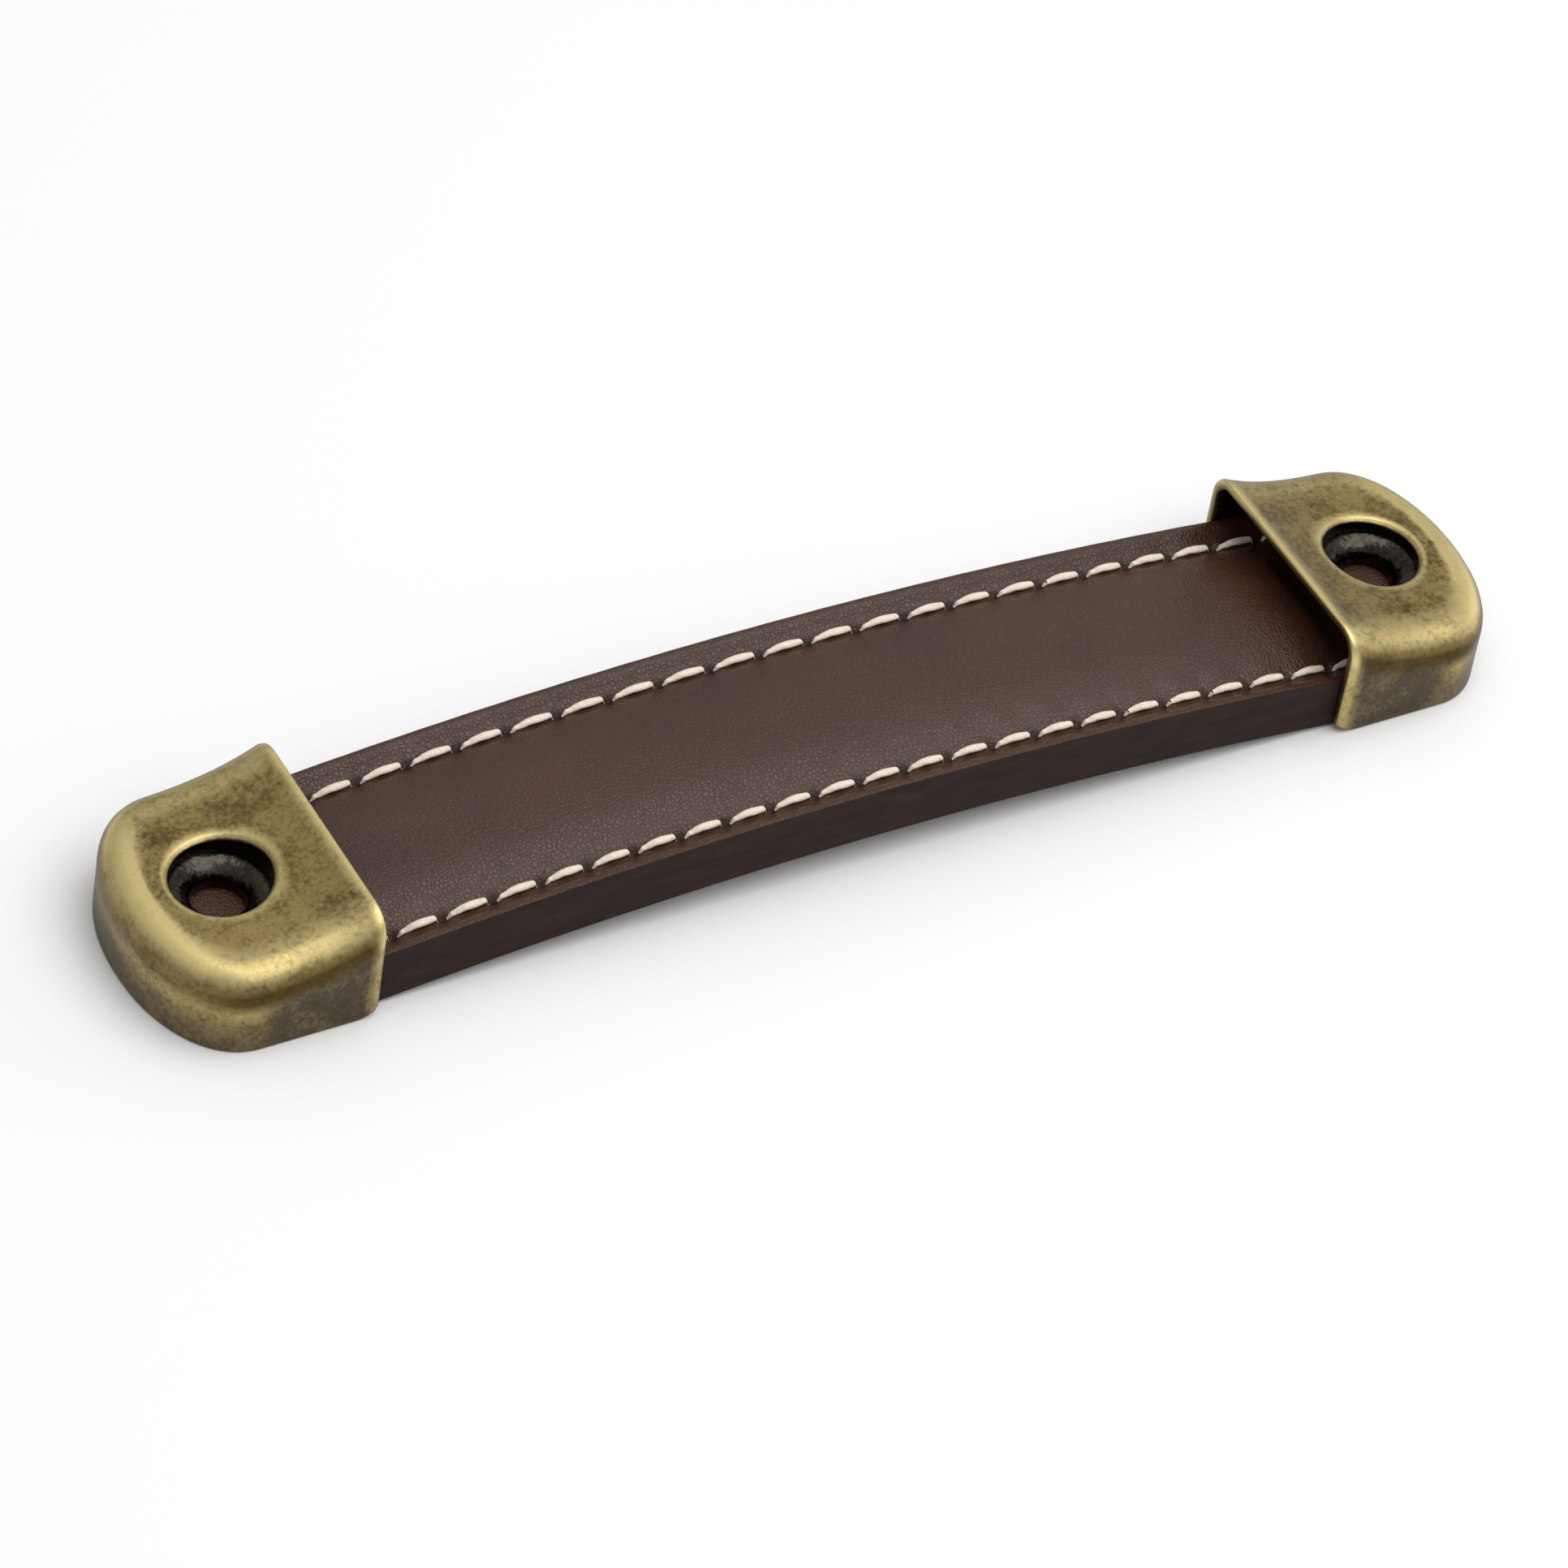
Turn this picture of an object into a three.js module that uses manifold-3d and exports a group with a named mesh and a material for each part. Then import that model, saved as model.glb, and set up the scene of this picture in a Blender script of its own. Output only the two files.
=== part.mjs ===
// A padded leather cabinet pull: a stitched, gently arched strap between two cast end caps.
// Millimetres, +Z up. X runs along the pull, -Y is the front, and the caps stand on the plane Z = 0.
import * as THREE from "three";
import { mergeVertices } from "three/addons/utils/BufferGeometryUtils.js";
import Module from "manifold-3d";

const wasm = await Module();
wasm.setup();

// Fixing: the two screws, and how far each stands behind its cap's open mouth.
const screwSpacing = 128;
const screwToMouth = 10.65;

// End cap casting. Its roof falls from the mouth to the round back end in a hollow curve.
const capLength = 20.9;
const capWidth = 27.8;
const capFlankLength = 12.3;
const capRoundness = 2.1;
const capMouthHeight = 12.6;
const capBackHeight = 9.15;
const capRoofPower = 3.4;
const capWall = 1.2;
const capEdgeRadius = 3;
const capLipRadius = 0.9;
const capFootLength = 2.4;
const capFootRise = 1;

// Screw cup sunk in the cap's roof.
const recessRadius = 4.9;
const recessRimRadius = 0.7;
const screwHoleRadius = 2.65;
const screwHoleRimRadius = 0.45;
const cupWall = 1.3;
const cupFloor = 1.3;
const cupDish = 0.25;

// Leather strap, built up from the underside.
const liningThickness = 1.3;
const boardThickness = 2.15;
const leatherThickness = 1.4;
const crownRise = 1.6;
const edgeRise = 0.95;
const edgeRounding = 0.35;
const bondGap = 0.1;
const strapInsertion = 17.5;
const paddingMargin = 0.95;
const crownFade = 3.2;

// Arch of the strap: its rise between the caps, and the run of the soft bend at each mouth.
const archRise = 3.3;
const archFoot = 5;

// Stitching. The two rows were sewn at slightly different pitches.
const rowInset = 2.8;
const creaseWidth = 1.4;
const frontRow = { side: -1, pitch: 4.95, stitches: 25, shift: 2.2 };
const rearRow = { side: 1, pitch: 5.4, stitches: 23, shift: 1.4 };
const needleHoleLength = 1.6;
const needleHoleWidth = 1.25;
const topThread = { width: 1, height: 0.7, bow: 0.25, dip: 1.4, sides: 6 };
const bottomThread = { width: 0.8, height: 0.5, bow: 0, dip: -0.7, sides: 4 };
const threadBend = 0.12;
const threadClearance = 0.08;
const liningGrooveWidth = 1.2;

// Clearances between pieces that stay separate.
const strapSideClearance = 0.2;
const strapClampClearance = 0.3;

// Mesh fineness.
const holeSegments = 28;
const rimSteps = 3;
const lipShares = [0, 0.13, 0.5];
const footSteps = 3;
const flankSteps = 4;
const roundSteps = 9;
const roundEndAngle = THREE.MathUtils.degToRad(85);
const capStepsAcross = 14;
const edgeCrowding = 1.8;
const crownShares = [0.4, 0.7, 0.89];
const archSteps = 16;
const strapEndSteps = 4;
const crownFadeSteps = 3;
const bisections = 24;
const weldTolerance = 1e-4;
const cutterOverrun = 2;

// Places worked out from the sizes above.
const screwX = screwSpacing / 2;
const mouthX = screwX - screwToMouth;
const strapEndX = mouthX + strapInsertion;
const strapInset = capWall + strapSideClearance;
const strapHalfWidth = capWidth / 2 - strapInset;
const rowY = strapHalfWidth - rowInset;
const cupOuterRadius = recessRadius + cupWall;
const crownEndX = screwX - cupOuterRadius;
const crownFadeX = crownEndX - crownFade;
const boardBottom = liningThickness + bondGap;
const boardTop = boardBottom + boardThickness;
const leatherBottom = boardTop + bondGap;
const creaseHeight = leatherBottom + leatherThickness;
const cupBottom = creaseHeight + strapClampClearance;
const liningGrooveDepth = bottomThread.height + 2 * threadClearance;
const crownHalfWidth = rowY - creaseWidth / 2;
const flangeStartY = rowY + creaseWidth / 2;
const flangeEndY = strapHalfWidth - edgeRounding;

// A box with its own counts of cells, whose points, from 0 to 1 each way, are moved by place().
function mappedBox(columns, rows, place) {
  const geometry = new THREE.BoxGeometry(1, 1, 1, columns, rows, 1);
  const position = geometry.attributes.position;
  const point = new THREE.Vector3();
  for (let i = 0; i < position.count; i += 1) {
    point.fromBufferAttribute(position, i).addScalar(0.5);
    place(point);
    position.setXYZ(i, point.x, point.y, point.z);
  }
  return geometry;
}

function stationAt(stations, share) {
  return stations[Math.round(share * (stations.length - 1))];
}

// Even steps from one value up to, but not at, another.
function evenSteps(from, to, count) {
  return Array.from({ length: count }, (_, i) => from + ((to - from) * i) / count);
}

function toSolid(geometry) {
  const bare = geometry.clone();
  bare.deleteAttribute("normal");
  bare.deleteAttribute("uv");
  const welded = mergeVertices(bare, weldTolerance);
  const mesh = new wasm.Mesh({
    numProp: 3,
    vertProperties: welded.attributes.position.array,
    triVerts: new Uint32Array(welded.index.array),
  });
  return new wasm.Manifold(mesh);
}

function toGeometry(solid) {
  const mesh = solid.getMesh();
  const geometry = new THREE.BufferGeometry();
  geometry.setAttribute("position", new THREE.BufferAttribute(mesh.vertProperties, mesh.numProp));
  geometry.setIndex(new THREE.BufferAttribute(mesh.triVerts, 1));
  geometry.computeVertexNormals();
  return geometry;
}

// End cap. Its own X is the distance s behind the mouth, and its roof height depends on s alone.
function roofHeight(s) {
  const fall = Math.pow(1 - s / capLength, capRoofPower);
  return capBackHeight + (capMouthHeight - capBackHeight) * fall;
}

// Half the width of the cap's plan at s, for an outline set in all round by an inset. The round
// back end is a superellipse with a small flat at its very tip.
function planHalfWidth(s, inset) {
  const half = capWidth / 2 - inset;
  if (s <= capFlankLength) return half;
  const roundLength = capLength - capFlankLength - inset;
  const share = (Math.sin(roundEndAngle) * (s - capFlankLength)) / roundLength;
  if (share >= 1) return 0;
  return half * Math.pow(1 - Math.pow(share, capRoundness), 1 / capRoundness);
}

// How far the point s, y lies inside an outline, up to a limit.
function insideBy(s, y, inset, limit) {
  if (Math.abs(y) < planHalfWidth(s, inset + limit)) return limit;
  let low = 0;
  let high = limit;
  for (let i = 0; i < bisections; i += 1) {
    const middle = (low + high) / 2;
    if (Math.abs(y) < planHalfWidth(s, inset + middle)) low = middle;
    else high = middle;
  }
  return low;
}

// The height of the cap's skin over s, y, with the round edge between roof and wall.
function skinHeight(s, y, inset) {
  const radius = capEdgeRadius - Math.min(inset, capWall);
  const inside = insideBy(s, y, inset, radius);
  const edge = Math.sqrt(Math.max(0, radius * radius - (radius - inside) ** 2));
  return roofHeight(s) - inset - radius + edge;
}

// The skin turns in by the lip radius over the last stretch before the mouth.
function lipTurnIn(s) {
  if (s >= capLipRadius) return 0;
  return capLipRadius - Math.sqrt(capLipRadius ** 2 - (capLipRadius - s) ** 2);
}

// The front corner of each wall's foot is rounded off over the same stretch and a little more.
function footHeight(s) {
  const share = 1 - Math.min(1, s / capFootLength);
  return capFootRise * (1 - Math.sqrt(1 - share * share));
}

function capStations(firstStations, inset) {
  const flank = evenSteps(capFootLength, capFlankLength, flankSteps);
  const roundLength = capLength - capFlankLength - inset;
  const round = [...evenSteps(0, roundEndAngle, roundSteps), roundEndAngle].map(
    (angle) => capFlankLength + (roundLength * Math.sin(angle)) / Math.sin(roundEndAngle),
  );
  return [...firstStations, ...flank, ...round];
}

// Spreads even steps across the cap so that they lie closer together at its round edges.
function crowdToEdges(share) {
  const across = 2 * share - 1;
  return Math.sign(across) * (1 - Math.pow(1 - Math.abs(across), edgeCrowding));
}

function capBlock() {
  const lip = lipShares.map((share) => share * capLipRadius);
  const foot = evenSteps(capLipRadius, capFootLength, footSteps);
  const stations = capStations([...lip, ...foot], 0);
  return mappedBox(stations.length - 1, capStepsAcross, (point) => {
    const s = stationAt(stations, point.x);
    const turnIn = lipTurnIn(s);
    const across = crowdToEdges(point.y);
    const top = skinHeight(s, planHalfWidth(s, 0) * across, 0) - turnIn;
    const height = point.z > 0.5 ? top : footHeight(s);
    point.set(mouthX + s, (planHalfWidth(s, 0) - turnIn) * across, height);
  });
}

function capHollow() {
  const stations = capStations([-cutterOverrun], capWall);
  return mappedBox(stations.length - 1, capStepsAcross, (point) => {
    const s = stationAt(stations, point.x);
    const y = planHalfWidth(s, capWall) * crowdToEdges(point.y);
    const top = skinHeight(s, y, capWall);
    point.set(mouthX + s, y, point.z > 0.5 ? top : -cutterOverrun);
  });
}

// Moves the points above the cup's floor up or down with the roof, so that the rim follows it.
function followRoof(geometry) {
  const position = geometry.attributes.position;
  const middle = roofHeight(screwToMouth);
  for (let i = 0; i < position.count; i += 1) {
    const z = position.getZ(i);
    if (z < cupBottom + cupFloor + cupDish + weldTolerance) continue;
    const s = position.getX(i) - mouthX;
    position.setZ(i, z + roofHeight(s) - middle);
  }
  return geometry;
}

function cupBoss() {
  const top = roofHeight(screwToMouth) - capWall / 2;
  const height = top - cupBottom;
  const boss = new THREE.CylinderGeometry(cupOuterRadius, cupOuterRadius, height, holeSegments);
  boss.rotateX(Math.PI / 2);
  boss.translate(screwX, 0, cupBottom + height / 2);
  return followRoof(boss);
}

// The space inside the cup: the screw hole, the dished floor, the recess and its rolled-in rim.
function cupSpace() {
  const holeTop = cupBottom + cupFloor;
  const floorEdge = holeTop + cupDish;
  const rim = roofHeight(screwToMouth);
  const profile = [
    new THREE.Vector2(0, cupBottom - cutterOverrun),
    new THREE.Vector2(screwHoleRadius, cupBottom - cutterOverrun),
    new THREE.Vector2(screwHoleRadius, holeTop - screwHoleRimRadius),
    new THREE.Vector2(screwHoleRadius + screwHoleRimRadius, holeTop),
    new THREE.Vector2(recessRadius, floorEdge),
  ];
  for (let i = 0; i <= rimSteps; i += 1) {
    const turn = (roundEndAngle * i) / rimSteps;
    const r = recessRadius + recessRimRadius * (1 - Math.cos(turn));
    profile.push(new THREE.Vector2(r, rim - recessRimRadius * (1 - Math.sin(turn))));
  }
  const outside = recessRadius + 2 * recessRimRadius;
  profile.push(new THREE.Vector2(outside, rim + cutterOverrun));
  profile.push(new THREE.Vector2(0, rim + cutterOverrun));
  const space = new THREE.LatheGeometry(profile, holeSegments);
  space.rotateX(Math.PI / 2);
  space.translate(screwX, 0, 0);
  return followRoof(space);
}

function endCapGeometry() {
  const shell = toSolid(capBlock()).subtract(toSolid(capHollow()));
  return toGeometry(shell.add(toSolid(cupBoss())).subtract(toSolid(cupSpace())));
}

// The strap's underside: flat under each cap, up through a soft foot, and over in one long arc.
function archHeight(x) {
  const reach = mouthX + archFoot;
  const slope = 2 * Math.atan(archRise / reach);
  const footRadius = archFoot / Math.sin(slope);
  const crestRadius = reach / Math.sin(slope) - footRadius;
  const fromFlat = reach - Math.abs(x);
  if (fromFlat <= 0) return 0;
  if (fromFlat <= archFoot) return footRadius - Math.sqrt(footRadius ** 2 - fromFlat ** 2);
  return archRise - crestRadius + Math.sqrt(crestRadius ** 2 - x * x);
}

function strapStations() {
  const end = [
    ...evenSteps(mouthX, crownFadeX, 1),
    ...evenSteps(crownFadeX, crownEndX, crownFadeSteps),
    ...evenSteps(crownEndX, mouthX + capFlankLength, 1),
    ...evenSteps(mouthX + capFlankLength, strapEndX, strapEndSteps),
    strapEndX,
  ];
  const start = end.map((x) => -x).reverse();
  const middle = evenSteps(-mouthX, mouthX, archSteps).slice(1);
  return [...start, ...middle, ...end];
}

function strapHalfWidthAt(x) {
  return planHalfWidth(Math.abs(x) - mouthX, strapInset);
}

// How much the padding lifts the leather: full between the caps, gone before the screw cups.
function crownLift(x, y) {
  const across = Math.min(1, Math.abs(y) / crownHalfWidth);
  const fade = 1 - THREE.MathUtils.smoothstep(Math.abs(x), crownFadeX, crownEndX);
  return crownRise * fade * (1 - across ** 3);
}

// How much the leather stands up beyond the crease, with its outer corner eased off.
function edgeLift(x, y) {
  const rise = edgeRise * THREE.MathUtils.smoothstep(Math.abs(y), flangeStartY, flangeEndY);
  const toEdge = strapHalfWidthAt(x) - Math.abs(y);
  return rise - Math.max(0, edgeRounding - toEdge);
}

// A flat layer of the strap between two heights above the strap's underside.
function layer(stations, columnsAcross, halfWidthAt, bottomAt, topAt) {
  return mappedBox(stations.length - 1, columnsAcross.length - 1, (point) => {
    const x = stationAt(stations, point.x);
    const y = stationAt(columnsAcross, point.y) * halfWidthAt(x);
    const height = point.z > 0.5 ? topAt(x, y) : bottomAt(x, y);
    point.set(x, y, archHeight(x) + height);
  });
}

// The columns of a layer, as shares of its half width, alike on both sides of the middle.
function columnShares(distances) {
  const shares = distances.map((distance) => distance / distances.at(-1));
  return [...shares.map((share) => -share).reverse(), 0, ...shares];
}

// Needle holes through the whole stack, at both ends of every stitch.
function needleHoles() {
  const cutters = [];
  for (const row of [frontRow, rearRow]) {
    for (let i = 0; i <= row.stitches; i += 1) {
      const x = row.shift + (i - row.stitches / 2) * row.pitch;
      const height = creaseHeight + 2 * cutterOverrun;
      const hole = new THREE.BoxGeometry(needleHoleLength, needleHoleWidth, height);
      hole.translate(x, row.side * rowY, archHeight(x) + creaseHeight / 2);
      cutters.push(toSolid(hole));
    }
  }
  return wasm.Manifold.union(cutters);
}

function liningGrooves() {
  const grooves = [frontRow, rearRow].map((row) => {
    const length = row.pitch * row.stitches + needleHoleLength;
    const start = row.shift - length / 2;
    const end = row.shift + length / 2;
    const between = strapStations().filter((x) => x > start && x < end);
    const stations = [start, ...between, end];
    const groove = mappedBox(stations.length - 1, 1, (point) => {
      const x = stationAt(stations, point.x);
      const y = row.side * rowY + (point.y - 0.5) * liningGrooveWidth;
      const height = point.z > 0.5 ? liningGrooveDepth : -cutterOverrun;
      point.set(x, y, archHeight(x) + height);
    });
    return toSolid(groove);
  });
  return wasm.Manifold.union(grooves);
}

const holes = needleHoles();

function topLeatherGeometry() {
  const crown = crownShares.map((share) => share * crownHalfWidth);
  const flange = [flangeStartY, (flangeStartY + flangeEndY) / 2, flangeEndY, strapHalfWidth];
  const leather = layer(
    strapStations(),
    columnShares([...crown, crownHalfWidth, ...flange]),
    strapHalfWidthAt,
    (x, y) => leatherBottom + crownLift(x, y),
    (x, y) => creaseHeight + crownLift(x, y) + edgeLift(x, y),
  );
  return toGeometry(toSolid(leather).subtract(holes));
}

function paddingGeometry() {
  const stations = strapStations().filter((x) => Math.abs(x) < crownFadeX + weldTolerance);
  const half = crownHalfWidth - paddingMargin;
  const crown = crownShares.map((share) => share * crownHalfWidth).filter((y) => y < half);
  return layer(
    stations,
    columnShares([...crown, half]),
    () => half,
    () => leatherBottom,
    (x, y) => leatherBottom + crownLift(x, y) - bondGap,
  );
}

function boardGeometry() {
  const board = layer(
    strapStations(),
    [-1, 1],
    strapHalfWidthAt,
    () => boardBottom,
    () => boardTop,
  );
  return toGeometry(toSolid(board).subtract(holes));
}

function liningGeometry() {
  const lining = layer(
    strapStations(),
    [-1, 1],
    strapHalfWidthAt,
    () => 0,
    () => liningThickness,
  );
  return toGeometry(toSolid(lining).subtract(holes).subtract(liningGrooves()));
}

// One continuous thread: over each stitch, and a dip into the needle hole at each end of it.
class ThreadPath extends THREE.Curve {
  constructor(row, thread, base) {
    super();
    this.row = row;
    this.base = base;
    this.shares = [0, threadBend, 0.5, 1 - threadBend];
    this.heights = [-thread.dip, 0, thread.bow, 0];
    this.steps = row.stitches * this.shares.length;
  }

  getUtoTmapping(u) {
    return u;
  }

  stop(index) {
    const stitch = Math.floor(index / this.shares.length);
    const phase = index % this.shares.length;
    const along = stitch + this.shares[phase] - this.row.stitches / 2;
    const x = this.row.shift + along * this.row.pitch;
    const z = archHeight(x) + this.base + this.heights[phase];
    return new THREE.Vector3(x, this.row.side * rowY, z);
  }

  getPoint(t, target = new THREE.Vector3()) {
    const place = THREE.MathUtils.clamp(t * this.steps, 0, this.steps);
    const before = Math.min(this.steps - 1, Math.floor(place));
    return target.lerpVectors(this.stop(before), this.stop(before + 1), place - before);
  }
}

function threadGeometry(row, thread, underside) {
  const reach = 1 / Math.cos(Math.PI / thread.sides);
  const corners = Array.from({ length: thread.sides }, (_, i) => {
    const turn = (2 * Math.PI * (i + 0.5)) / thread.sides;
    const across = (thread.width / 2) * reach * Math.cos(turn);
    return new THREE.Vector2(across, (thread.height / 2) * Math.sin(turn));
  });
  const path = new ThreadPath(row, thread, underside + threadClearance + thread.height / 2);
  return new THREE.ExtrudeGeometry(new THREE.Shape(corners), {
    steps: path.steps,
    bevelEnabled: false,
    extrudePath: path,
  });
}

const agedBrass = new THREE.MeshStandardMaterial({ color: 0x8f7d4c, roughness: 0.42, metalness: 1 });
const brownLeather = new THREE.MeshStandardMaterial({ color: 0x523c34, roughness: 0.62 });
const leatherBoard = new THREE.MeshStandardMaterial({ color: 0x3c302c, roughness: 0.8 });
const liningLeather = new THREE.MeshStandardMaterial({ color: 0x46352f, roughness: 0.75 });
const softFoam = new THREE.MeshStandardMaterial({ color: 0x9a9084, roughness: 0.95 });
const creamThread = new THREE.MeshStandardMaterial({ color: 0xf6e8d6, roughness: 0.7 });

function piece(name, geometry, material) {
  const mesh = new THREE.Mesh(geometry, material);
  mesh.name = name;
  return mesh;
}

const pull = new THREE.Group();

const rightEndCap = piece("right_end_cap", endCapGeometry(), agedBrass);
const leftEndCap = piece("left_end_cap", rightEndCap.geometry, agedBrass);
leftEndCap.rotation.z = Math.PI;
pull.add(leftEndCap, rightEndCap);

const strap = new THREE.Group();
strap.add(
  piece("top_leather", topLeatherGeometry(), brownLeather),
  piece("padding_strip", paddingGeometry(), softFoam),
  piece("core_board", boardGeometry(), leatherBoard),
  piece("lining_leather", liningGeometry(), liningLeather),
  piece("front_top_thread", threadGeometry(frontRow, topThread, creaseHeight), creamThread),
  piece("rear_top_thread", threadGeometry(rearRow, topThread, creaseHeight), creamThread),
  piece("front_bottom_thread", threadGeometry(frontRow, bottomThread, 0), creamThread),
  piece("rear_bottom_thread", threadGeometry(rearRow, bottomThread, 0), creamThread),
);
pull.add(strap);

export default pull;
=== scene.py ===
import math

import bmesh
import bpy
from mathutils import Matrix, Vector


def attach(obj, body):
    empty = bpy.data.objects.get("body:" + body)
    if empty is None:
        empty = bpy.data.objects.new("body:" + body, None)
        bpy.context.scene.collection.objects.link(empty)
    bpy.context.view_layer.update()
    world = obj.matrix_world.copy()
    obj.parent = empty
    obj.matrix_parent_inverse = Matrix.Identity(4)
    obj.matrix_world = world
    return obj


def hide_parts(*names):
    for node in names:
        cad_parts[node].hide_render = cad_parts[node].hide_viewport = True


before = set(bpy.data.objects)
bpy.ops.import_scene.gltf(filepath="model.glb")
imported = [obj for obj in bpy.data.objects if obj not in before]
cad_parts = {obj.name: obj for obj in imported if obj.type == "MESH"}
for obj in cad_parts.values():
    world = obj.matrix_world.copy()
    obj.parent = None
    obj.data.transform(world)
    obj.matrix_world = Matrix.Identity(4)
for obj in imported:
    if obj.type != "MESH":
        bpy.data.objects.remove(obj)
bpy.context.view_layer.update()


# The lining.
# The real piece is a plain strip of leather, flesh side in, glued under the strap. A groove is
# cut along each seam, so that the lower threads don't rub on the drawer's face.

# Pieces are in millimetres until finish_piece makes them metres. Materials are in metres.
mouth_x = 53.35
strap_end_x = 70.85
strap_half_width = 12.5
arch_rise = 3.3
arch_foot = 5.0
seam_y = 9.7
lining_top = 1.34
lining_round = 0.22
groove_deep = 0.66
groove_half_floor = 0.35
groove_half_width = 0.7
cap_length = 20.9
cap_half_width = 13.9
cap_flank = 12.3
cap_roundness = 2.1
strap_inset = cap_half_width - strap_half_width
seen_in_mouth = 2.5
columns_in_cap = 16
hard_corner = math.radians(42)
cut_side_lean = 0.45
cut_side_width = 0.6
metres = 0.001


def strap_half_at(x):
    """Half the strap's width: straight past the caps' flanks, then round as their backs are."""
    beyond = abs(x) - mouth_x - cap_flank
    if beyond <= 0:
        return strap_half_width
    share = min(1.0, beyond / (cap_length - cap_flank - strap_inset))
    return strap_half_width * (1 - share ** cap_roundness) ** (1 / cap_roundness)


def arch(x):
    """Height of the strap's underside: flat under the caps, a soft foot, and one long arc."""
    reach = mouth_x + arch_foot
    slope = 2 * math.atan(arch_rise / reach)
    foot_radius = arch_foot / math.sin(slope)
    crest_radius = reach / math.sin(slope) - foot_radius
    from_flat = reach - abs(x)
    if from_flat <= 0:
        return 0.0
    if from_flat <= arch_foot:
        return foot_radius - math.sqrt(foot_radius ** 2 - from_flat ** 2)
    return arch_rise - crest_radius + math.sqrt(crest_radius ** 2 - x * x)


def smooth_step(value, low, high):
    """Eases from 0 at low to 1 at high."""
    share = min(1.0, max(0.0, (value - low) / (high - low)))
    return share * share * (3 - 2 * share)


def steps(low, high, count):
    """Even steps from low up to high, without high itself."""
    return [low + (high - low) * i / count for i in range(count)]


def strap_columns(fine):
    """Places along the strap: fine steps where it shows, coarse ones inside the caps."""
    shown = mouth_x + seen_in_mouth
    right = steps(shown, strap_end_x, columns_in_cap) + [strap_end_x]
    middle = steps(-shown, shown, round(2 * shown / fine))
    return [-x for x in reversed(right[1:])] + middle + right


def strap_layer(columns, rows, top_at, bottom_at, top_round, bottom_round):
    """A flat layer bent along the arch, made from a grid and thickened, with eased edges."""
    bm = bmesh.new()
    across, along = len(rows) - 1, len(columns) - 1
    bmesh.ops.create_grid(bm, x_segments=along, y_segments=across, size=1.0)
    for v in bm.verts:
        x = columns[round((v.co.x + 1) / 2 * along)]
        share = rows[round((v.co.y + 1) / 2 * across)]
        v.co = (x, share * strap_half_at(x), 0)
    upper = list(bm.verts)
    made = bmesh.ops.extrude_face_region(bm, geom=list(bm.faces), use_keep_orig=True)
    lower = [item for item in made["geom"] if isinstance(item, bmesh.types.BMVert)]
    for v in upper:
        v.co.z = arch(v.co.x) + top_at(v.co.x, v.co.y)
    for v in lower:
        v.co.z = arch(v.co.x) + bottom_at(v.co.x, v.co.y)
    upper_set, lower_set = set(upper), set(lower)
    rim_top, rim_bottom = [], []
    for edge in bm.edges:
        a, b = edge.verts
        level = a in upper_set, b in upper_set
        side = [f for f in edge.link_faces if any(v in upper_set for v in f.verts)
                and any(v in lower_set for v in f.verts)]
        if len(side) == 1 and level == (True, True):
            rim_top.append(edge)
        elif len(side) == 1 and level == (False, False):
            rim_bottom.append(edge)
    for rim, size, segments in ((rim_top, top_round, 4), (rim_bottom, bottom_round, 2)):
        if size:
            bmesh.ops.bevel(bm, geom=rim, offset=size, affect="EDGES", segments=segments,
                            profile=0.5, material=-1, clamp_overlap=True)
    bmesh.ops.recalc_face_normals(bm, faces=list(bm.faces))
    return bm


def finish_piece(bm, name, materials):
    """Turns a shape in millimetres into a piece in metres, smooth but for its hard corners."""
    bmesh.ops.scale(bm, vec=(metres, metres, metres), verts=list(bm.verts))
    mesh = bpy.data.meshes.new(name)
    for face in bm.faces:
        face.smooth = True
    bm.to_mesh(mesh)
    bm.free()
    mesh.set_sharp_from_angle(angle=hard_corner)
    for material in materials:
        mesh.materials.append(material)
    piece = bpy.data.objects.new(name, mesh)
    bpy.context.scene.collection.objects.link(piece)
    return piece


def paint_cut_sides(piece, slot_index):
    """The cut sides of a layer, with their eased edges, take the material in that slot."""
    for polygon in piece.data.polygons:
        x, y = polygon.center.x / metres, polygon.center.y / metres
        outward = polygon.normal.y * math.copysign(1, y)
        if outward > cut_side_lean and abs(y) > strap_half_at(x) - cut_side_width:
            polygon.material_index = slot_index


def new_material(name, colour, roughness, metallic=0.0):
    """A material with its constants on the shader's own sockets."""
    material = bpy.data.materials.new(name)
    material.use_nodes = True
    shader = material.node_tree.nodes["Principled BSDF"]
    shader.inputs["Base Color"].default_value = (*colour, 1)
    shader.inputs["Roughness"].default_value = roughness
    shader.inputs["Metallic"].default_value = metallic
    return material, shader


def add_node(tree, kind, **values):
    """A node with its settings, and the values of its sockets, given by name."""
    node = tree.nodes.new(kind)
    for key, value in values.items():
        if key in node.bl_rna.properties:
            setattr(node, key, value)
        else:
            node.inputs[key.replace("_", " ")].default_value = value
    return node


def colour_ramp(tree, factor, stops):
    """A ramp from (position, colour) stops, read by a factor socket."""
    ramp = tree.nodes.new("ShaderNodeValToRGB")
    elements = ramp.color_ramp.elements
    while len(elements) < len(stops):
        elements.new(0.5)
    for element, (place, colour) in zip(elements, stops):
        element.position = place
        element.color = (*colour, 1)
    tree.links.new(factor, ramp.inputs["Fac"])
    return ramp.outputs["Color"]


def object_place(tree):
    """The place on the piece itself, which every pattern follows."""
    return tree.nodes.new("ShaderNodeTexCoord").outputs["Object"]


grain_bend = 0.00035
grain_crease_width = 0.22
grain_slow_height = 1.5


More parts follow.
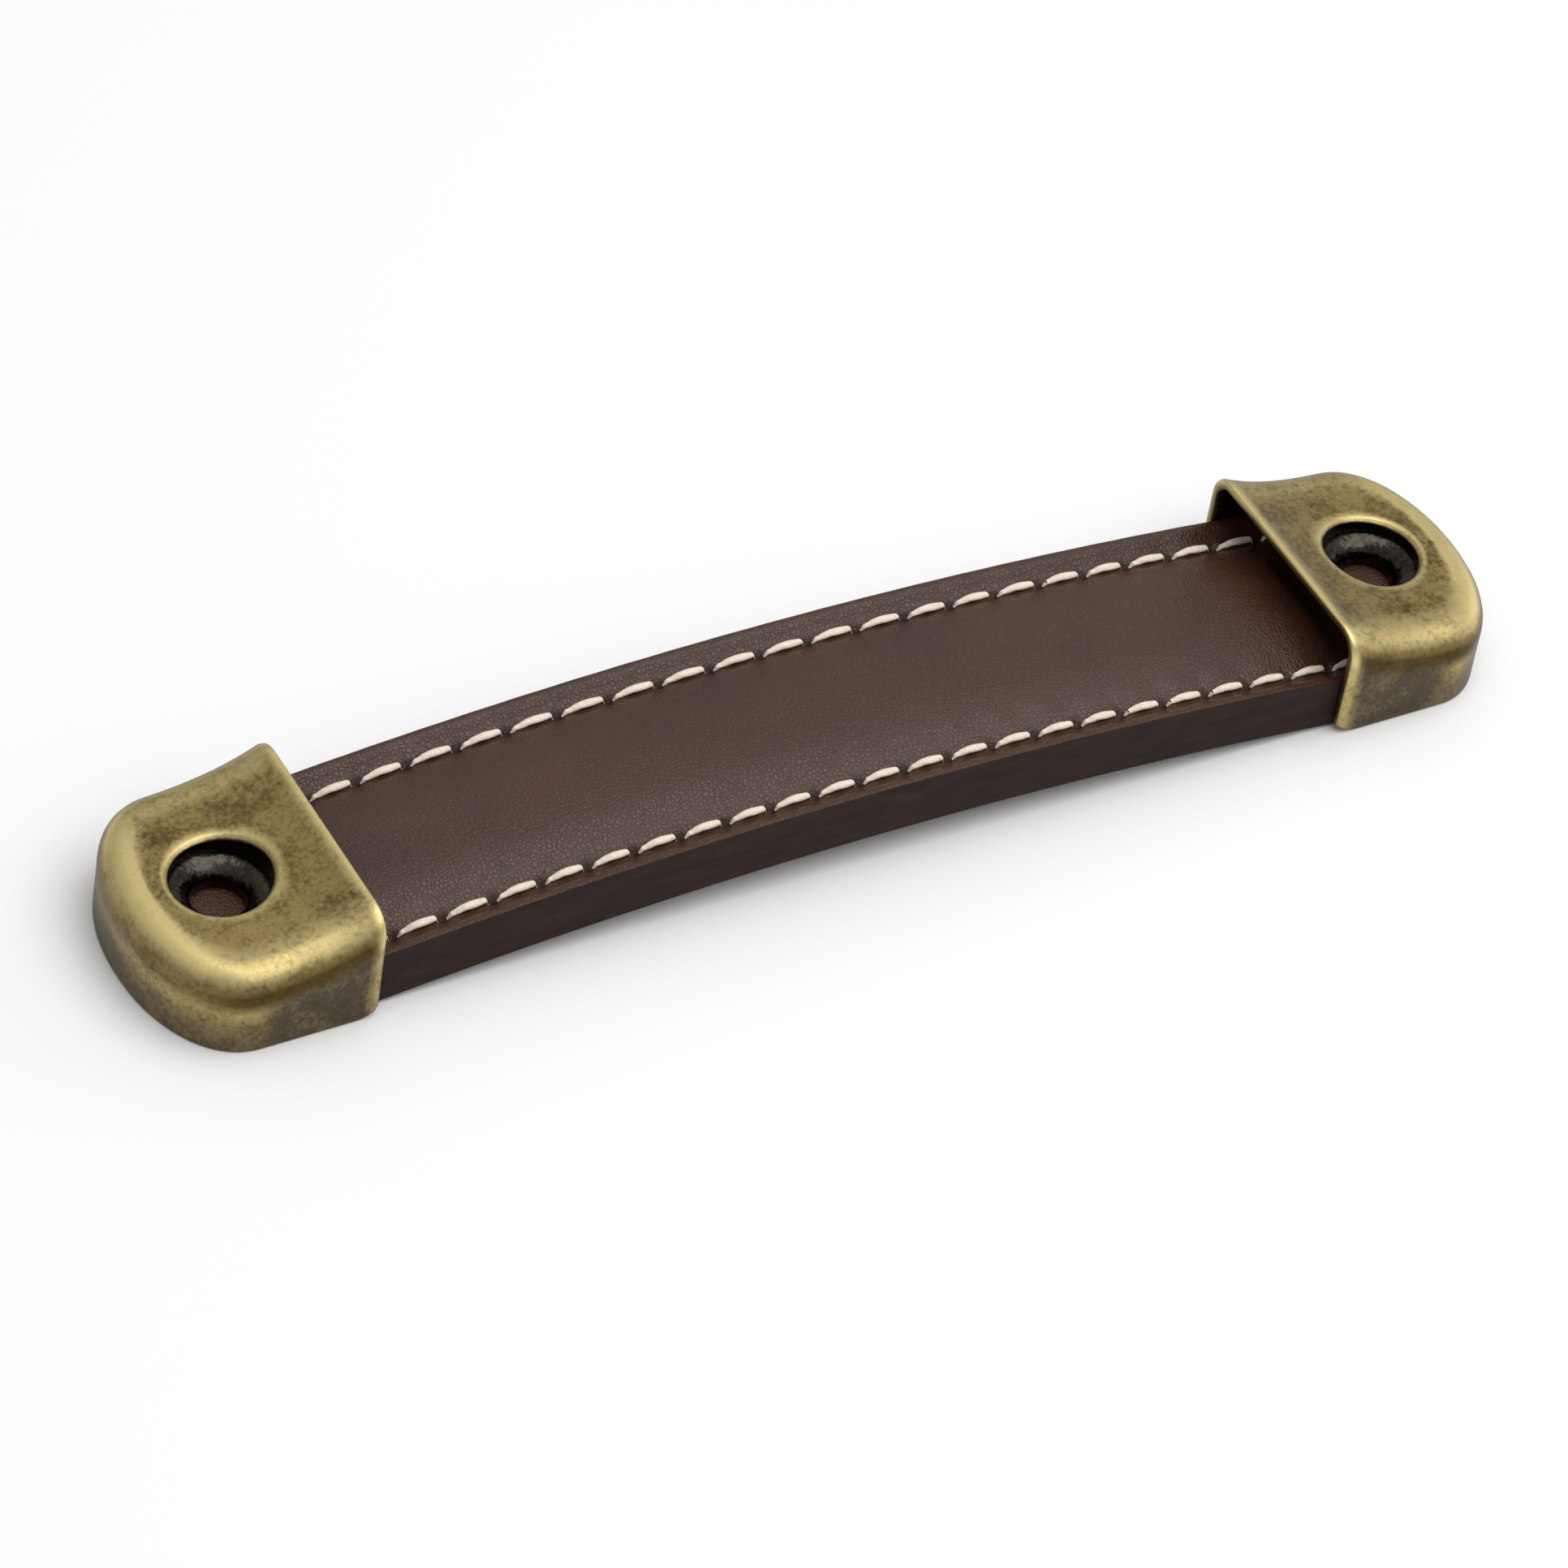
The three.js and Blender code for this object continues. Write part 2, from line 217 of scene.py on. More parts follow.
def build_grain_group():
    """Pebbled leather grain: cells parted by fine creases, over a slow unevenness."""
    group = bpy.data.node_groups.new("leather_grain", "ShaderNodeTree")
    face = group.interface
    face.new_socket("Place", in_out="INPUT", socket_type="NodeSocketVector")
    for name, value in (("Cell Scale", 1500.0), ("Slow Scale", 90.0)):
        face.new_socket(name, in_out="INPUT", socket_type="NodeSocketFloat").default_value = value
    for name in ("Height", "Crease", "Slow"):
        face.new_socket(name, in_out="OUTPUT", socket_type="NodeSocketFloat")
    start = group.nodes.new("NodeGroupInput")
    end = group.nodes.new("NodeGroupOutput")
    link = group.links.new
    bend = add_node(group, "ShaderNodeTexNoise", Detail=2.0)
    link(start.outputs["Place"], bend.inputs["Vector"])
    link(start.outputs["Cell Scale"], bend.inputs["Scale"])
    shifted = add_node(group, "ShaderNodeVectorMath", operation="MULTIPLY_ADD")
    link(bend.outputs["Color"], shifted.inputs[0])
    shifted.inputs[1].default_value = (grain_bend, grain_bend, grain_bend)
    link(start.outputs["Place"], shifted.inputs[2])
    cells = add_node(group, "ShaderNodeTexVoronoi", feature="DISTANCE_TO_EDGE")
    link(shifted.outputs["Vector"], cells.inputs["Vector"])
    link(start.outputs["Cell Scale"], cells.inputs["Scale"])
    crease = add_node(group, "ShaderNodeMapRange", From_Min=0.0, From_Max=grain_crease_width,
                      clamp=True)
    link(cells.outputs["Distance"], crease.inputs["Value"])
    slow = add_node(group, "ShaderNodeTexNoise", Detail=5.0, Roughness=0.6)
    link(start.outputs["Place"], slow.inputs["Vector"])
    link(start.outputs["Slow Scale"], slow.inputs["Scale"])
    height = add_node(group, "ShaderNodeMath", operation="MULTIPLY_ADD")
    link(slow.outputs["Fac"], height.inputs[0])
    height.inputs[1].default_value = grain_slow_height
    link(crease.outputs["Result"], height.inputs[2])
    link(height.outputs["Value"], end.inputs["Height"])
    link(crease.outputs["Result"], end.inputs["Crease"])
    link(slow.outputs["Fac"], end.inputs["Slow"])
    return group


grain_group = build_grain_group()
leather_specular = 0.45
crease_in_colour = 0.35
crease_rougher = 0.12
pebble_smoother = 0.06
# Painted shade: the colour that the leather is darkened towards in its needle holes and seam
# creases.
painted_hole_shade_colour = (0.016, 0.007, 0.0025, 1)
hole_rougher = 0.5


def leather_material(name, dark, light, roughness, cell_scale, depth):
    """Grained leather whose colour wanders between dark and light. Where the attribute "hole" is
    set it is duller, and its colour is painted dark for the shade in each needle hole and along
    each seam's crease."""
    material, shader = new_material(name, light, roughness)
    shader.inputs["Specular IOR Level"].default_value = leather_specular
    tree = material.node_tree
    link = tree.links.new
    grain = tree.nodes.new("ShaderNodeGroup")
    grain.node_tree = grain_group
    grain.inputs["Cell Scale"].default_value = cell_scale
    link(object_place(tree), grain.inputs["Place"])
    mixed = add_node(tree, "ShaderNodeMath", operation="MULTIPLY_ADD", use_clamp=True)
    link(grain.outputs["Crease"], mixed.inputs[0])
    mixed.inputs[1].default_value = crease_in_colour
    link(grain.outputs["Slow"], mixed.inputs[2])
    colour = colour_ramp(tree, mixed.outputs["Value"], ((0.35, dark), (0.95, light)))
    hole = add_node(tree, "ShaderNodeAttribute", attribute_name="hole")
    shaded = add_node(tree, "ShaderNodeMix", data_type="RGBA")
    link(hole.outputs["Fac"], shaded.inputs["Factor"])
    link(colour, shaded.inputs["A"])
    shaded.inputs["B"].default_value = painted_hole_shade_colour
    link(shaded.outputs["Result"], shader.inputs["Base Color"])
    rough = add_node(tree, "ShaderNodeMapRange", To_Min=roughness + crease_rougher,
                     To_Max=roughness - pebble_smoother)
    link(grain.outputs["Crease"], rough.inputs["Value"])
    dulled = add_node(tree, "ShaderNodeMath", operation="MULTIPLY_ADD", use_clamp=True)
    link(hole.outputs["Fac"], dulled.inputs[0])
    dulled.inputs[1].default_value = hole_rougher
    link(rough.outputs["Result"], dulled.inputs[2])
    link(dulled.outputs["Value"], shader.inputs["Roughness"])
    bump = add_node(tree, "ShaderNodeBump", Distance=depth)
    link(grain.outputs["Height"], bump.inputs["Height"])
    link(bump.outputs["Normal"], shader.inputs["Normal"])
    return material


lining_leather = leather_material(
    "lining_leather", dark=(0.032, 0.018, 0.013), light=(0.055, 0.031, 0.023),
    roughness=0.7, cell_scale=1900.0, depth=0.00004)
edge_paint, paint_shader = new_material("edge_paint", (0.026, 0.014, 0.011), 0.7)
paint_shader.inputs["Specular IOR Level"].default_value = 0.15


def paint_finish():
    """Brushed-on edge paint: nearly even, a little streaked along the strap."""
    tree = edge_paint.node_tree
    link = tree.links.new
    along = add_node(tree, "ShaderNodeMapping")
    along.inputs["Scale"].default_value = (0.25, 1, 1)
    link(object_place(tree), along.inputs["Vector"])
    streak = add_node(tree, "ShaderNodeTexNoise", Scale=900.0, Detail=4.0, Roughness=0.55)
    link(along.outputs["Vector"], streak.inputs["Vector"])
    colour = colour_ramp(tree, streak.outputs["Fac"],
                         ((0.3, (0.019, 0.01, 0.008)), (0.7, (0.033, 0.019, 0.015))))
    link(colour, paint_shader.inputs["Base Color"])
    bump = add_node(tree, "ShaderNodeBump", Distance=0.00003)
    link(streak.outputs["Fac"], bump.inputs["Height"])
    link(bump.outputs["Normal"], paint_shader.inputs["Normal"])


paint_finish()


def groove_depth(y):
    """Depth of the grooves that the lower threads lie in."""
    off_seam = abs(abs(y) - seam_y)
    return groove_deep * (1 - smooth_step(off_seam, groove_half_floor, groove_half_width))


# Rows across the strap, as shares of its half width, are closer together at the grooves.
lining_rows = [-1, -0.93, -0.86, -0.84, -0.82, -0.8, -0.776, -0.752, -0.73, -0.71, -0.69]
lining_rows += [-0.45, 0]
lining_rows += [-share for share in reversed(lining_rows[:-1])]
lining_bm = strap_layer(
    strap_columns(fine=1.5), lining_rows,
    lambda x, y: lining_top,
    lambda x, y: groove_depth(y),
    0.0, lining_round)
for v in lining_bm.verts:
    v.co.z = max(v.co.z, 0.0)
lining = finish_piece(lining_bm, "lining", [lining_leather, edge_paint])
paint_cut_sides(lining, 1)
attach(lining, "root")
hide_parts("lining_leather")


# The core.
# A strip of pressed leather board, cut to the strap's outline and glued to the lining. Only its
# edge shows, sanded flush with the other layers and painted.
glue_line = 0.02
board_bottom = lining_top + glue_line
board_top = 3.6
core_bm = strap_layer(
    strap_columns(fine=2.5), [-1, -0.5, 0, 0.5, 1],
    lambda x, y: board_top,
    lambda x, y: board_bottom,
    0.0, 0.0)
core = finish_piece(core_bm, "core", [edge_paint])
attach(core, "root")
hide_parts("core_board")


# The padding.
# A strip of soft foam laid on the board before the top leather is drawn over it. It is shut in,
# so the CAD solid stays and only takes a foam's finish.
foam, foam_shader = new_material("foam", (0.32, 0.28, 0.23), 0.95)
foam_tree = foam.node_tree
pores = add_node(foam_tree, "ShaderNodeTexNoise", Scale=2500.0, Detail=3.0)
foam_tree.links.new(object_place(foam_tree), pores.inputs["Vector"])
foam_colour = colour_ramp(foam_tree, pores.outputs["Fac"],
                          ((0.35, (0.22, 0.19, 0.15)), (0.65, (0.36, 0.32, 0.27))))
foam_tree.links.new(foam_colour, foam_shader.inputs["Base Color"])
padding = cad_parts["padding_strip"]
padding.data.materials.clear()
padding.data.materials.append(foam)


# The top leather.
# Brown grained leather, 1.4 mm thick, drawn over the padding and held down by both seams, so that
# it crowns between them and rises again to its cut edges. Each needle hole pulls it in.
leather_bottom = board_top + glue_line
crease_height = 5.05
crown_rise = 1.6
crown_half_width = 9.0
crown_fade_from = 54.6
crown_fade_to = 57.8
crown_under_from = 7.6
crown_under_to = 9.4
edge_rise = 0.95
edge_rise_from = seam_y + 0.7
edge_rise_to = strap_half_width - 0.35
edge_round = 0.32
seam_dip = 0.12
seam_dip_width = 0.6
hole_pull = 0.85
hole_pull_length = 0.52
hole_pull_width = 0.5
swelling = 0.1
swelling_off_seam = 1.7
swelling_width = 0.9
# How dark the shade painted along each seam's crease and into each needle hole is, and how far it
# reaches.
painted_crease_shade = 0.3
painted_crease_shade_width = 0.5
painted_hole_shade = 0.85
painted_hole_shade_power = 0.7
front_seam = {"side": -1, "pitch": 4.95, "stitches": 25, "shift": 2.2,
              "drift": [(0, -1.1), (2, -0.6), (5, 0.15), (8, 0.2), (12, 0), (20, -0.15),
                        (25, -0.3)]}
rear_seam = {"side": 1, "pitch": 5.4, "stitches": 23, "shift": 1.4,
             "drift": [(0, -0.1), (6, -0.35), (8.5, 0), (11, 0.45), (14, 0.6), (17, 0), (20, -0.8),
                       (23, -0.9)]}


def profile(share, stops):
    """Reads a value between (share, value) stops, eased from each one to the next."""
    for (low, before), (high, after) in zip(stops, stops[1:]):
        if share <= high:
            return before + (after - before) * smooth_step(share, low, high)
    return stops[-1][1]


def needle_holes(seam):
    """Where the needle went in: evenly, but for the small drift of a hand-fed seam."""
    return [seam["shift"] + (k - seam["stitches"] / 2) * seam["pitch"] + profile(k, seam["drift"])
            for k in range(seam["stitches"] + 1)]


for seam in (front_seam, rear_seam):
    seam["holes"] = needle_holes(seam)


def crown(x, y):
    """How far the padding lifts the leather: most on the centre line, and not far into the caps."""
    across = min(1.0, abs(y) / crown_half_width)
    fade = 1 - smooth_step(abs(x), crown_fade_from, crown_fade_to)
    return crown_rise * fade * (1 - across ** 3)


def from_hole(seam, x):
    """Distance along a seam from x to the nearest needle hole."""
    return min(abs(x - place) for place in seam["holes"])


def pinch(x, y):
    """How hard the thread pulls the leather in: 1 at a needle hole, less beside it."""
    seam = rear_seam if y > 0 else front_seam
    off_seam = abs(abs(y) - seam_y)
    if off_seam > 6 * hole_pull_width:
        return 0.0
    along = from_hole(seam, x)
    return math.exp(-(along / hole_pull_length) ** 2 - (off_seam / hole_pull_width) ** 2)


def pucker(x, y):
    """Between two holes the leather beside the seam swells a little."""
    seam = rear_seam if y > 0 else front_seam
    off_ridge = abs(abs(y) - seam_y) - swelling_off_seam
    beside = math.exp(-(off_ridge / swelling_width) ** 2)
    along = from_hole(seam, x) / (seam["pitch"] / 2)
    return beside * (1 - math.cos(math.pi * along)) / 2


def leather_top(x, y):
    """The grain side: the crown, the crease at each seam and the rise to each cut edge."""
    edge = edge_rise * smooth_step(abs(y), edge_rise_from, edge_rise_to)
    dip = seam_dip * math.exp(-((abs(y) - seam_y) / seam_dip_width) ** 2)
    return (crease_height + crown(x, y) + edge - dip
            - hole_pull * pinch(x, y) + swelling * pucker(x, y))


def leather_under(x, y):
    """The flesh side: over the padding in the middle, and flat on the board beside it."""
    on_padding = 1 - smooth_step(abs(y), crown_under_from, crown_under_to)
    return leather_bottom + crown(x, y) * on_padding


# Rows across the strap are closer together from the crown's shoulder to the cut edge.
half_rows = [i * 0.9 for i in range(8)] + [7.2 + 0.25 * i for i in range(1, 20)] + [12.2, 12.5]
leather_rows = [y / strap_half_width for y in half_rows]
leather_rows = [-share for share in reversed(leather_rows[1:])] + leather_rows
leather_bm = strap_layer(
    strap_columns(fine=0.28), leather_rows, leather_top, leather_under, edge_round, 0.0)
brown_leather = leather_material(
    "brown_leather", dark=(0.041, 0.0135, 0.006), light=(0.067, 0.0235, 0.0113),
    roughness=0.29, cell_scale=2300.0, depth=0.000028)
top_leather = finish_piece(leather_bm, "top_leather_skin", [brown_leather, edge_paint])
paint_cut_sides(top_leather, 1)
# The attribute "hole" paints shade into the leather's colour: dark in each needle hole and a little
# darker along each seam's crease.
holes = top_leather.data.attributes.new("hole", "FLOAT", "POINT")
for vertex, hole in zip(top_leather.data.vertices, holes.data):
    x, y = vertex.co.x / metres, vertex.co.y / metres
    crease_shade = painted_crease_shade * math.exp(-((abs(y) - seam_y) / painted_crease_shade_width) ** 2)
    hole.value = max(crease_shade, painted_hole_shade * pinch(x, y) ** painted_hole_shade_power)
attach(top_leather, "root")
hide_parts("top_leather")


# The stitches.
# Waxed cream thread in saddle stitch. Each stitch comes up out of one needle hole, lies over the
# crease and dives into the next one, a little off the line of the seam.
cream_thread, thread_shader = new_material("cream_thread", (0.85, 0.72, 0.58), 0.55)
thread_shader.inputs["Specular IOR Level"].default_value = 0.3


def thread_finish():
    """Waxed thread, its colour and surface a little uneven with the fibres."""
    tree = cream_thread.node_tree
    link = tree.links.new
    fibres = add_node(tree, "ShaderNodeTexNoise", Scale=3500.0, Detail=3.0)
    link(object_place(tree), fibres.inputs["Vector"])
    colour = colour_ramp(tree, fibres.outputs["Fac"],
                         ((0.3, (0.76, 0.63, 0.51)), (0.65, (0.93, 0.82, 0.71))))
    link(colour, thread_shader.inputs["Base Color"])
    bump = add_node(tree, "ShaderNodeBump", Distance=0.00003)
    link(fibres.outputs["Fac"], bump.inputs["Height"])
    link(bump.outputs["Normal"], thread_shader.inputs["Normal"])


thread_finish()
thread_sides = 14
stitch_slant = math.radians(2)
ply_twist = 5.5
lower_thread_height = 0.36
weld_distance = 1e-5


def add_stitch(bm, start_x, length, side, base, thread):
    """One stitch as a tapered tube with the shallow spiral of its two plies."""
    last = thread["rings"]
    ring = bmesh.ops.create_circle(bm, cap_ends=True, cap_tris=False, segments=thread_sides,
                                   radius=1.0)
    verts = ring["verts"]
    turns = [math.atan2(v.co.y, v.co.x) for v in verts]
    cap_face = verts[0].link_faces[0]
    for k in range(last + 1):
        share = (1 - math.cos(math.pi * k / last)) / 2
        along = share * length
        swell = profile(share, thread["swell"])
        lift = profile(share, thread["lift"])
        x = start_x + along
        centre = Vector((x, side * seam_y + math.sin(stitch_slant) * (along - length / 2),
                         arch(x) + base + lift))
        for v, turn in zip(verts, turns):
            ply = 1 + thread["ply"] * math.cos(2 * (turn - ply_twist * share))
            v.co = centre + Vector((0, math.cos(turn) * thread["width"] / 2 * swell * ply,
                                    math.sin(turn) * thread["height"] / 2 * swell * ply))
        if k == last:
            break
        if k == 0:
            made = bmesh.ops.extrude_discrete_faces(bm, faces=[cap_face])
            cap_face = made["faces"][0]
        else:
            made = bmesh.ops.extrude_face_region(bm, geom=[cap_face])
            cap_face = next(g for g in made["geom"] if isinstance(g, bmesh.types.BMFace))
        verts = list(cap_face.verts)


def stitch_row(name, seam, base, thread, thread_node):
    """One seam's stitches on one side of the strap, from hole to hole, as one piece."""
    bm = bmesh.new()
    inset = thread["inset"]
    for start, end in zip(seam["holes"], seam["holes"][1:]):
        add_stitch(bm, start + inset, end - start - 2 * inset, seam["side"], base, thread)
    bmesh.ops.remove_doubles(bm, verts=list(bm.verts), dist=weld_distance)
    bmesh.ops.recalc_face_normals(bm, faces=list(bm.faces))
    piece = finish_piece(bm, name, [cream_thread])
    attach(piece, "root")
    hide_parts(thread_node)


upper_thread = {
    "width": 0.86, "height": 0.64, "ply": 0.05, "inset": 0.46, "rings": 20,
    "swell": [(0, 0.35), (0.12, 0.62), (0.34, 0.95), (0.55, 1), (0.86, 0.88), (1, 0.6)],
    "lift": [(0, -0.5), (0.09, 0.02), (0.45, 0.26), (0.93, 0.14), (1, -0.6)]}
lower_thread = {
    "width": 0.85, "height": 0.5, "ply": 0.04, "inset": 0.4, "rings": 8,
    "swell": [(0, 0.5), (0.5, 1), (1, 0.5)],
    "lift": [(0, 0.22), (0.3, 0.0), (0.7, 0.0), (1, 0.22)]}
stitch_row("front_top_stitches", front_seam, crease_height, upper_thread, "front_top_thread")
stitch_row("rear_top_stitches", rear_seam, crease_height, upper_thread, "rear_top_thread")
stitch_row("front_bottom_stitches", front_seam, lower_thread_height, lower_thread,
           "front_bottom_thread")
stitch_row("rear_bottom_stitches", rear_seam, lower_thread_height, lower_thread,
           "rear_bottom_thread")


# The end caps.
# Two die castings in antique brass finish: a thin shell, open at its mouth and underneath, with a
# cup sunk in its roof round the hole. The black patina is rubbed off wherever a hand reaches.
roof_mouth = 12.6
roof_back = 9.15
roof_power = 3.4
cap_wall = 1.2
shoulder_radius = 3.0
mouth_turn_in = 0.28
mouth_turn_length = 0.65
foot_rise = 1.0
foot_length = 2.4
hole_x = 64.0
hole_s = hole_x - mouth_x
throat_radius = 2.65
cup_bottom = 5.35
cup_radius = 4.9
rim_radius = 0.7
rim_dark_turn = 0.6
boss_radius = 6.2
boss_chamfer = 0.3
boss_fillet = 0.5
casting_round = 0.28
mouth_edge = 0.01


def roof(s):
    """Height of the roof at s, the distance back from the mouth."""
    return roof_back + (roof_mouth - roof_back) * max(0.0, 1 - s / cap_length) ** roof_power


def turn_in(s):
    """How far the skin is drawn in at the mouth's lip."""
    return mouth_turn_in * max(0.0, 1 - s / mouth_turn_length) ** 2


def foot(s):
    """Height of the wall's lower edge, which lifts off the drawer's face at the mouth."""
    return foot_rise * max(0.0, 1 - s / foot_length) ** 2


flank_stops = [0, 0.55, 1.15, 1.9, 2.8, 3.9, 5.1, 6.4, 7.7, 9.0, 10.2, 11.3]
round_count = 44
mouth_count = 36
flank_count = len(flank_stops)
wall_rays = 2 * flank_count + round_count
ray_count = wall_rays + mouth_count


def plan_point(turn, inset):
    """A point of the cap's round back, set in by inset. Turn runs from -90 to 90 degrees."""
    reach = (cap_length - cap_flank - inset) * abs(math.cos(turn)) ** (2 / cap_roundness)
    half = (cap_half_width - inset) * abs(math.sin(turn)) ** (2 / cap_roundness)
    return cap_flank + reach, math.copysign(half, turn)


def outline(ray, inset):
    """The point of a ray on the cap's plan, set in by inset. Rays run round from the near
    corner of the mouth, past the back, to the far corner, and home along the mouth."""
    half = cap_half_width - inset
    if ray < flank_count:
        return flank_stops[ray], -half
    if ray <= flank_count + round_count:
        turn = math.pi * ((ray - flank_count) / round_count - 0.5)
        return plan_point(turn, inset)
    if ray <= wall_rays:
        return flank_stops[wall_rays - ray], half
    share = (ray - wall_rays) / mouth_count
    return 0.0, (cap_half_width - shoulder_radius) * (1 - 2 * share)


def ray_direction(ray):
    """The way of a ray from the middle of the hole to the edge of the roof."""
    s, y = outline(ray, shoulder_radius)
    return Vector((s - hole_s, y)).normalized()


cup_profile = [(throat_radius, 5.8), (2.68, 6.15), (2.8, 6.5), (3.0, 6.83), (3.3, 7.16),
               (3.7, 7.45), (4.1, 7.66), (4.5, 7.78), (4.8, 7.8), (cup_radius, 7.78)]
rim_turns = [math.radians(a) for a in (0, 22, 45, 67, 90)]
roof_shares = [0.13, 0.27, 0.42, 0.56, 0.68, 0.77, 0.84, 0.9, 0.95, 1.0]
shoulder_turns = [math.radians(a) for a in (12, 25, 38, 51, 64, 77, 90)]
wall_shares = [0.1, 0.22, 0.45, 0.7, 0.88, 1.0]
rings = ([("cup", item) for item in cup_profile] + [("recess", 0.5)]
         + [("rim", turn) for turn in rim_turns] + [("roof", share) for share in roof_shares]
         + [("shoulder", turn) for turn in shoulder_turns]
         + [("wall", share) for share in wall_shares])
first_wall_ring = len(rings) - len(wall_shares) - len(shoulder_turns)


def skin_point(ring, ray):
    """A point of the cap's outer skin, from the cup out over the roof and down the wall."""
    kind, value = rings[ring]
    way = ray_direction(ray)

    def about_hole(radius):
        return hole_s + way.x * radius, way.y * radius

    if kind == "cup":
        s, y = about_hole(value[0])
        return s, y, value[1]
    if kind == "recess":
        s, y = about_hole(cup_radius)
        top = roof(s) - rim_radius
        return s, y, cup_profile[-1][1] * value + top * (1 - value)
    if kind == "rim":
        s, y = about_hole(cup_radius + rim_radius * (1 - math.cos(value)))
        return s, y, roof(s) - rim_radius * (1 - math.sin(value))
    if kind == "roof":
        s0, y0 = about_hole(cup_radius + rim_radius)
        s1, y1 = outline(ray, shoulder_radius)
        s, y = s0 + (s1 - s0) * value, y0 + (y1 - y0) * value
        return s, y, roof(s) - turn_in(s)
    if kind == "shoulder":
        s, y = outline(ray, shoulder_radius * (1 - math.sin(value)))
        side = turn_in(s)
        y -= math.copysign(side * math.sin(value), y)
        return s, y, roof(s) - shoulder_radius * (1 - math.cos(value)) - side * math.cos(value)
    s, y = outline(ray, 0.0)
    top = roof(s) - shoulder_radius
    y -= math.copysign(turn_in(s), y)
    return s, y, top + (foot(s) - top) * value


def inner_point(ring, ray):
    """The point of the inner skin that answers a point of the outer one."""
    kind, value = rings[ring]
    way = ray_direction(ray)
    last_cup = len(cup_profile) - 1
    if kind == "cup":
        span = boss_radius - boss_chamfer - throat_radius
        radius = throat_radius + span * ring / last_cup
        return hole_s + way.x * radius, way.y * radius, cup_bottom
    if kind == "recess":
        return hole_s + way.x * boss_radius, way.y * boss_radius, cup_bottom + boss_chamfer
    if kind == "rim":
        share = value / rim_turns[-1]
        radius = boss_radius + boss_fillet * share ** 3
        s, y = hole_s + way.x * radius, way.y * radius
        low, high = cup_bottom + 2 * boss_chamfer, roof(s) - cap_wall
        return s, y, low + (high - low) * (1 - (1 - share) ** 2)
    if kind == "roof":
        radius = boss_radius + boss_fillet
        s0, y0 = hole_s + way.x * radius, way.y * radius
        s1, y1 = outline(ray, shoulder_radius)
        s, y = s0 + (s1 - s0) * value, y0 + (y1 - y0) * value
        return s, y, roof(s) - cap_wall
    if kind == "shoulder":
        radius = shoulder_radius - cap_wall
        s, y = outline(ray, cap_wall + radius * (1 - math.sin(value)))
        return s, y, roof(s) - cap_wall - radius * (1 - math.cos(value))
    s, y = outline(ray, cap_wall)
    top = roof(s) - shoulder_radius
    return s, y, top + (foot(s) - top) * value


# Each kind of wear, and each shade or highlight painted on the casting, has a strength and the
# stretch that it fades over. Back from the mouth the stretches are in millimetres, on the roof and
# the wall in shares, on round parts in degrees.
lip_worn, lip_fades = 1.5, (0.4, 1.6)
flank_fades = (10.5, 14)
# At the back end the rubbed brass is made brighter, partly wear and partly a painted highlight, and
# the painted dark line there is weaker.
back_wear_and_highlight, back_starts = 0.6, (13, 17.5)
back_line_weaker, back_line_weakens = 0.55, (14, 19)
rim_worn, rim_wears = 1.15, (25, 60)
rim_roof_worn, rim_roof_fades = 0.5, (0.0, 0.12)
edge_roof_worn, edge_roof_wears = 0.85, (0.6, 0.98)
shoulder_fades = (42, 68)
# A dark line is painted under the shoulder for the dark reflection there.
dark_line_starts, dark_line_fades = (58, 74), (0.02, 0.2)
# The walls take a painted shade: fully on the flanks, and lower down on the round back.
wall_shade_turns = (70, 90)
painted_wall_shade, painted_wall_shade_fades = 0.75, (0.15, 0.65)
wall_worn, wall_fades = 0.35, (0.25, 0.5)
lip_wall_worn, lip_wall_less = 0.65, 0.25
# How dark the mouth's inner edge is painted, for the shade under the lip.
mouth_painted_shade = 0.95


def wear_at(ring, ray):
    """How bare the metal is, how dark a painted line of shade lies on it, and how much painted
    shade the walls take. The patina is worn off every ridge that a hand reaches, and at the back
    end the brass is made brighter still, partly as a painted highlight. The dark line under the
    shoulder is painted for the dark reflection there."""
    kind, value = rings[ring]
    s = skin_point(ring, ray)[0]
    inward = smooth_step(s, *lip_fades)
    lip = lip_worn * (1 - inward)
    flank = 1 - smooth_step(s, *flank_fades)
    back = back_wear_and_highlight * smooth_step(s, *back_starts)
    painted_line_strength = 1 - back_line_weaker * smooth_step(s, *back_line_weakens)
    if kind in ("cup", "recess"):
        return 0.0, 0.0, 0.0
    if kind == "rim":
        return rim_worn * smooth_step(math.degrees(value), *rim_wears), 0.0, 0.0
    if kind == "roof":
        near_rim = rim_roof_worn * (1 - smooth_step(value, *rim_roof_fades))
        near_shoulder = (edge_roof_worn + back) * smooth_step(value, *edge_roof_wears)
        if ray > wall_rays:
            near_shoulder = 0.0
        return max(near_rim, near_shoulder, lip), 0.0, 0.0
    if kind == "shoulder":
        degrees = math.degrees(value)
        bare = (1 + back) * (1 - smooth_step(degrees, *shoulder_fades))
        painted_shade = painted_line_strength * smooth_step(degrees, *dark_line_starts)
        wall_shade = smooth_step(degrees, *wall_shade_turns) * flank
        return max(lip, bare), painted_shade * inward, wall_shade * inward
    bare = wall_worn * (1 - flank) * (1 - smooth_step(value, *wall_fades))
    lip_bare = (lip_wall_worn - lip_wall_less * value) * lip
    painted_shade = painted_line_strength * (1 - smooth_step(value, *dark_line_fades))
    wall_shade = max(flank, painted_wall_shade * smooth_step(value, *painted_wall_shade_fades))
    return max(lip_bare, bare), painted_shade * inward, wall_shade * inward


